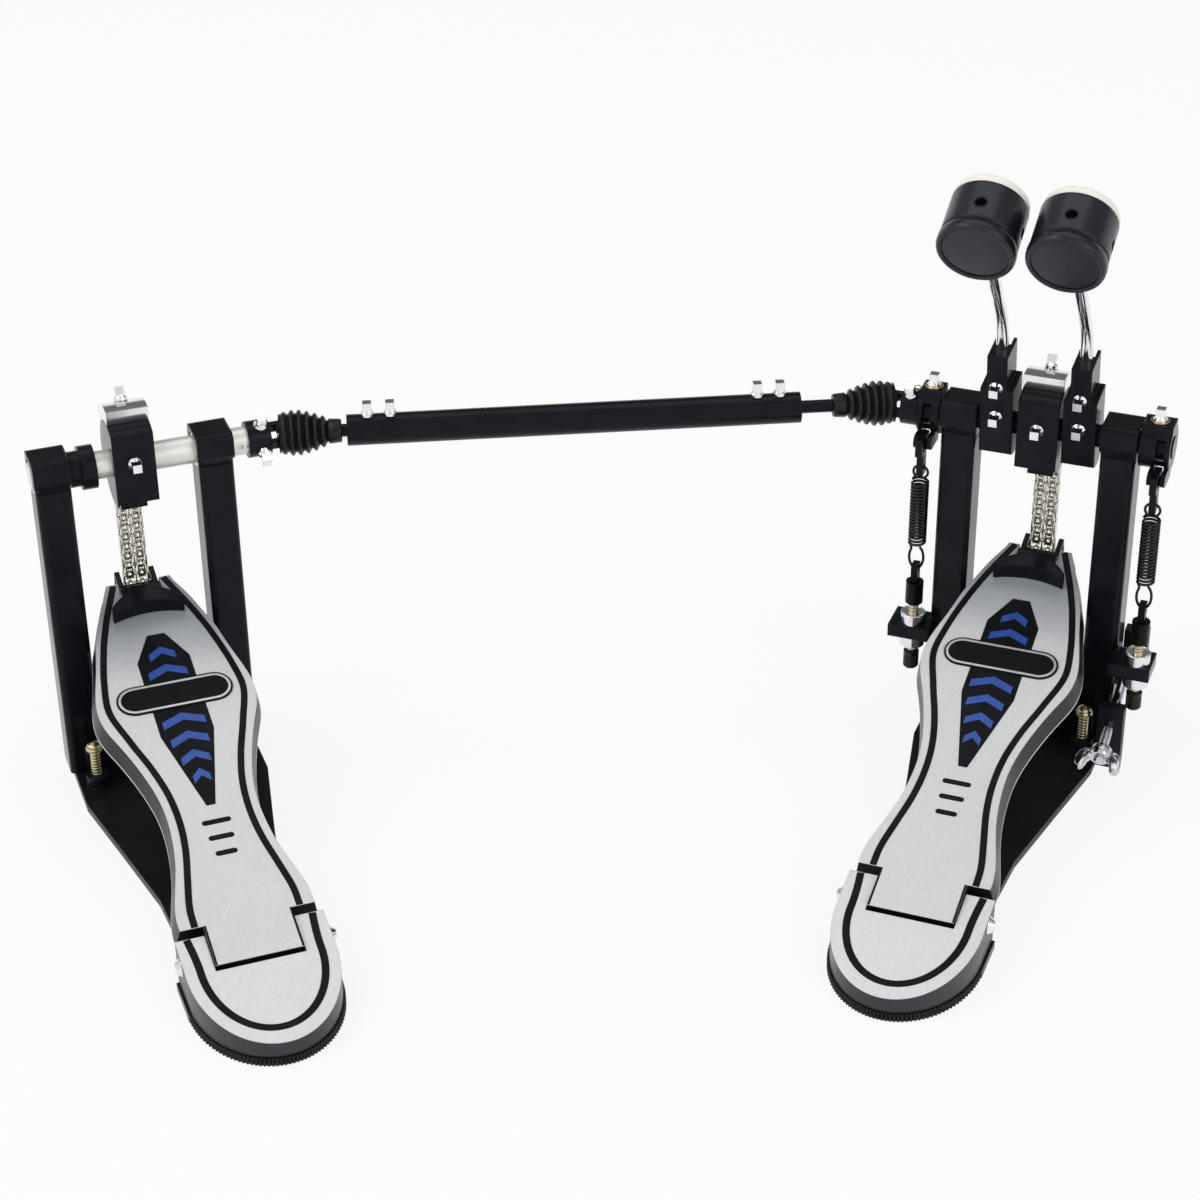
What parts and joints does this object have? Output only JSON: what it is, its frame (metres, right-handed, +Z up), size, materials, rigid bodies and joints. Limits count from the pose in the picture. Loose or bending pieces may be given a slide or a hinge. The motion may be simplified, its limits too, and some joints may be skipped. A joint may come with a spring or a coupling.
{
  "type": "double bass drum pedal",
  "caption": "Double bass drum pedal: chain-driven foot pedals joined by a telescoping drive shaft with universal joints, swinging felt beaters on sprung axles.",
  "frame": {"origin": "on the floor, straight below the middle of the main pedal's axle", "axes": "+X along the main pedal's axle to the player's right, +Y towards the drum, +Z up"},
  "size_m": [0.6148, 0.4996, 0.3709],
  "materials": {
    "black_paint": "gloss black powder coat",
    "silver_plate": "satin silver",
    "chrome": "polished",
    "nickel": "bright nickel",
    "bright_steel": "turned bare steel",
    "brass": "dull plated thread",
    "rubber": "moulded",
    "beater_black": "semi-gloss",
    "felt": "hard felt",
    "spring_black": "black oxide wire"
  },
  "bodies": {
    "frame": {"primary_base_plate": "black_paint", "primary_upright_frame": "black_paint", "primary_axle_bearings": "nickel", "primary_heel_plate": "silver_plate", "primary_heel_pad": "rubber", "primary_hinge_pin": "chrome", "tension_bolts": "brass", "tension_nuts": "chrome", "left_return_spring": "spring_black", "right_return_spring": "spring_black"},
    "primary_board": {"primary_footboard": "silver_plate", "primary_toe_block": "black_paint"},
    "primary_shaft": {"primary_axle": "black_paint", "primary_cam_wheel": "black_paint", "primary_cam_clamp": "chrome", "primary_axle_bolts": "chrome", "right_beater_hub": "black_paint", "right_rocker": "black_paint"},
    "primary_wrap": {"primary_chain_upper": "nickel"},
    "primary_drop": {"primary_chain_drop": "nickel"},
    "right_beater": {"right_beater_rod": "chrome", "right_beater_head": "beater_black", "right_beater_felt": "felt"},
    "right_hanger": {"right_spring_hanger": "black_paint"},
    "sleeve": {"left_drive_sleeve": "black_paint", "left_beater_hub": "black_paint", "left_rocker": "black_paint", "left_sleeve_bolts": "chrome"},
    "left_beater": {"left_beater_rod": "chrome", "left_beater_head": "beater_black", "left_beater_felt": "felt"},
    "left_hanger": {"left_spring_hanger": "black_paint"},
    "clamp_screw": {"hoop_clamp_screw": "chrome"},
    "clamp_jaw": {"hoop_clamp_jaw": "black_paint"},
    "primary_floor_spur": {"primary_spur": "brass"},
    "primary_cross": {"primary_joint_cross": "nickel"},
    "drive_shaft": {"drive_tube": "black_paint", "drive_tube_bolts": "chrome", "primary_joint_rod": "black_paint", "primary_joint_boot": "rubber"},
    "slave_frame": {"slave_base_plate": "black_paint", "slave_upright_frame": "black_paint", "slave_axle_bearings": "nickel", "slave_heel_plate": "silver_plate", "slave_heel_pad": "rubber", "slave_hinge_pin": "chrome"},
    "slave_board": {"slave_footboard": "silver_plate", "slave_toe_block": "black_paint"},
    "slave_shaft": {"slave_axle": "bright_steel", "slave_cam_wheel": "black_paint", "slave_cam_clamp": "chrome", "slave_stop_collar": "black_paint", "slave_axle_bolts": "chrome", "slave_joint_yoke": "black_paint"},
    "slave_wrap": {"slave_chain_upper": "nickel"},
    "slave_drop": {"slave_chain_drop": "nickel"},
    "slave_cross": {"slave_joint_cross": "nickel"},
    "slave_rod": {"slave_joint_rod": "black_paint", "slave_joint_boot": "rubber"},
    "slave_floor_spur": {"slave_spur": "brass"}
  },
  "joints": [
    {"name": "primary_axle_turn", "type": "hinge", "parent": "frame", "child": "primary_shaft", "pos_m": [0, 0, 0.197], "axis": [-1, 0, 0], "range_deg": [0, 52], "stiffness_Nm_per_rad": 0.6, "springref_deg": -40.11},
    {"name": "primary_board_hinge", "type": "hinge", "parent": "frame", "child": "primary_board", "pos_m": [0, -0.2365, 0.0231], "axis": [-1, 0, 0], "range_deg": [0, 5.4]},
    {"name": "primary_chain_unwrap", "type": "hinge", "parent": "primary_shaft", "child": "primary_wrap", "pos_m": [0, 0.01727, 0.2191], "axis": [1, 0, 0], "range_deg": [0, 26.4]},
    {"name": "primary_chain_drop_pin", "type": "hinge", "parent": "primary_wrap", "child": "primary_drop", "pos_m": [0, 0.02805, 0.197], "axis": [1, 0, 0], "range_deg": [0, 30]},
    {"name": "right_beater_height", "type": "slide", "parent": "primary_shaft", "child": "right_beater", "axis": [0, -0.1478, 0.989], "range_m": [0, 0.01]},
    {"name": "right_hanger_lift", "type": "slide", "parent": "frame", "child": "right_hanger", "axis": [0, 0, 1], "range_m": [0, 0.0168], "deforming": ["right_return_spring"]},
    {"name": "sleeve_turn", "type": "hinge", "parent": "frame", "child": "sleeve", "pos_m": [0, 0, 0.197], "axis": [-1, 0, 0], "range_deg": [0, 49.4]},
    {"name": "left_beater_height", "type": "slide", "parent": "sleeve", "child": "left_beater", "axis": [0, -0.1478, 0.989], "range_m": [0, 0.01]},
    {"name": "left_hanger_lift", "type": "slide", "parent": "frame", "child": "left_hanger", "axis": [0, 0, 1], "range_m": [0, 0.0158], "deforming": ["left_return_spring"]},
    {"name": "clamp_screw_turn", "type": "hinge", "parent": "frame", "child": "clamp_screw", "pos_m": [0.0598, -0.047, 0.0256], "axis": [0, 0.9627, 0.2706], "range_deg": [0, 1080]},
    {"name": "clamp_jaw_close", "type": "hinge", "parent": "frame", "child": "clamp_jaw", "pos_m": [0, 0.024, 0.021], "axis": [-1, 0, 0], "range_deg": [0, 9.2]},
    {"name": "primary_spur_height", "type": "slide", "parent": "frame", "child": "primary_floor_spur", "axis": [0, 0, 1], "range_m": [0, 0.008]},
    {"name": "primary_cross_pin", "type": "hinge", "parent": "sleeve", "child": "primary_cross", "pos_m": [-0.09, 0, 0.197], "axis": [0, -0.8988, -0.4384], "range_deg": [0, 23.4]},
    {"name": "drive_shaft_turn", "type": "hinge", "parent": "frame", "child": "drive_shaft", "pos_m": [-0.09, 0, 0.197], "axis": [-0.8971, -0.4417, 0], "range_deg": [0, 54.2]},
    {"name": "shaft_length", "type": "slide", "parent": "frame", "child": "slave_frame", "axis": [-0.8971, -0.4417, 0], "range_m": [0, 0.075]},
    {"name": "slave_axle_turn", "type": "hinge", "parent": "slave_frame", "child": "slave_shaft", "pos_m": [-0.4689, -0.2116, 0.197], "axis": [-0.7547, -0.6561, 0], "range_deg": [0, 52], "stiffness_Nm_per_rad": 0.6, "springref_deg": -40.11},
    {"name": "slave_board_hinge", "type": "hinge", "parent": "slave_frame", "child": "slave_board", "pos_m": [-0.31374, -0.39009, 0.0231], "axis": [-0.7547, -0.6561, 0], "range_deg": [0, 5.4]},
    {"name": "slave_chain_unwrap", "type": "hinge", "parent": "slave_shaft", "child": "slave_wrap", "pos_m": [-0.48023, -0.19857, 0.2191], "axis": [0.7547, 0.6561, 0], "range_deg": [0, 26.4]},
    {"name": "slave_chain_drop_pin", "type": "hinge", "parent": "slave_wrap", "child": "slave_drop", "pos_m": [-0.4873, -0.19043, 0.197], "axis": [0.7547, 0.6561, 0], "range_deg": [0, 30]},
    {"name": "slave_cross_pin", "type": "hinge", "parent": "slave_shaft", "child": "slave_cross", "pos_m": [-0.40249, -0.15387, 0.197], "axis": [-0.5897, 0.6783, 0.4384], "range_deg": [0, 13.6]},
    {"name": "slave_rod_turn", "type": "hinge", "parent": "slave_frame", "child": "slave_rod", "pos_m": [-0.40249, -0.15387, 0.197], "axis": [-0.8971, -0.4417, 0], "range_deg": [0, 54.2]},
    {"name": "slave_spur_height", "type": "slide", "parent": "slave_frame", "child": "slave_floor_spur", "axis": [0, 0, 1], "range_m": [0, 0.008]}
  ],
  "couplings": [
    {"joint": "primary_board_hinge", "follows": "primary_axle_turn", "ratio": 0.101},
    {"joint": "primary_chain_unwrap", "follows": "primary_axle_turn", "ratio": 0.5},
    {"joint": "primary_chain_drop_pin", "follows": "primary_axle_turn", "ratio": 0.5704},
    {"joint": "right_hanger_lift", "follows": "primary_axle_turn", "m_per_rad": 0.01807},
    {"joint": "slave_board_hinge", "follows": "slave_axle_turn", "ratio": 0.101},
    {"joint": "slave_chain_unwrap", "follows": "slave_axle_turn", "ratio": 0.5},
    {"joint": "slave_chain_drop_pin", "follows": "slave_axle_turn", "ratio": 0.5704},
    {"joint": "slave_cross_pin", "follows": "slave_axle_turn", "ratio": 0.2544},
    {"joint": "slave_rod_turn", "follows": "slave_axle_turn", "ratio": 1.03},
    {"joint": "drive_shaft_turn", "follows": "slave_axle_turn", "ratio": 1.03},
    {"joint": "sleeve_turn", "follows": "slave_axle_turn", "ratio": 0.9375},
    {"joint": "primary_cross_pin", "follows": "slave_axle_turn", "ratio": 0.4416},
    {"joint": "left_hanger_lift", "follows": "slave_axle_turn", "m_per_rad": 0.01694},
    {"joint": "clamp_jaw_close", "follows": "clamp_screw_turn", "ratio": 0.0083333}
  ]
}
